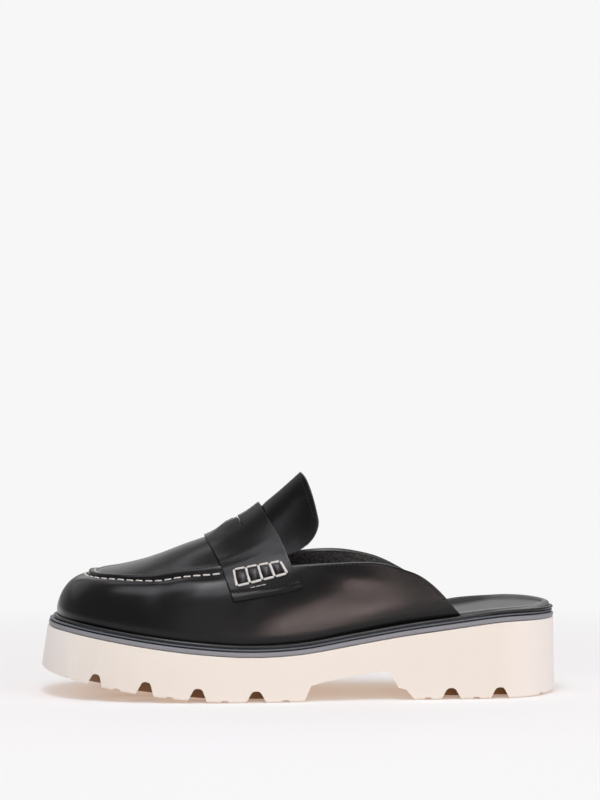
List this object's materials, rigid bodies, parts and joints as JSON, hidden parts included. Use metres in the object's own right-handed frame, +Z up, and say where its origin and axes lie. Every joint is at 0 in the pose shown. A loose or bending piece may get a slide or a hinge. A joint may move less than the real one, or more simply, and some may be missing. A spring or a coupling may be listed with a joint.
{
  "type": "backless loafer",
  "caption": "Backless penny loafer for the left foot, with a slotted saddle strap, a standing tongue and a raised apron seam, open at the heel, on a thick lugged sole.",
  "frame": {"origin": "middle of the outer box, on the floor the sole stands on", "axes": "+X from toe to heel, +Y to the inner side of the foot, +Z up"},
  "size_m": [0.2748, 0.1035, 0.1177],
  "materials": {
    "cream_rubber": "matt, faintly mottled",
    "grey_rubber": "satin",
    "black_welt": "satin",
    "insole_cover": "fine grain, matt",
    "upper_leather": "smooth, soft sheen",
    "strap_leather": "smooth, soft sheen",
    "tongue_leather": "smooth, soft sheen",
    "lining": "pebbled, matt",
    "white_thread": "twisted thread",
    "black_thread": "twisted thread"
  },
  "bodies": {
    "root": {"outsole": "cream_rubber", "midsole": "grey_rubber", "welt": "black_welt", "insole": "insole_cover", "upper": "upper_leather", "strap": "strap_leather", "tongue": "tongue_leather"}
  },
  "joints": []
}
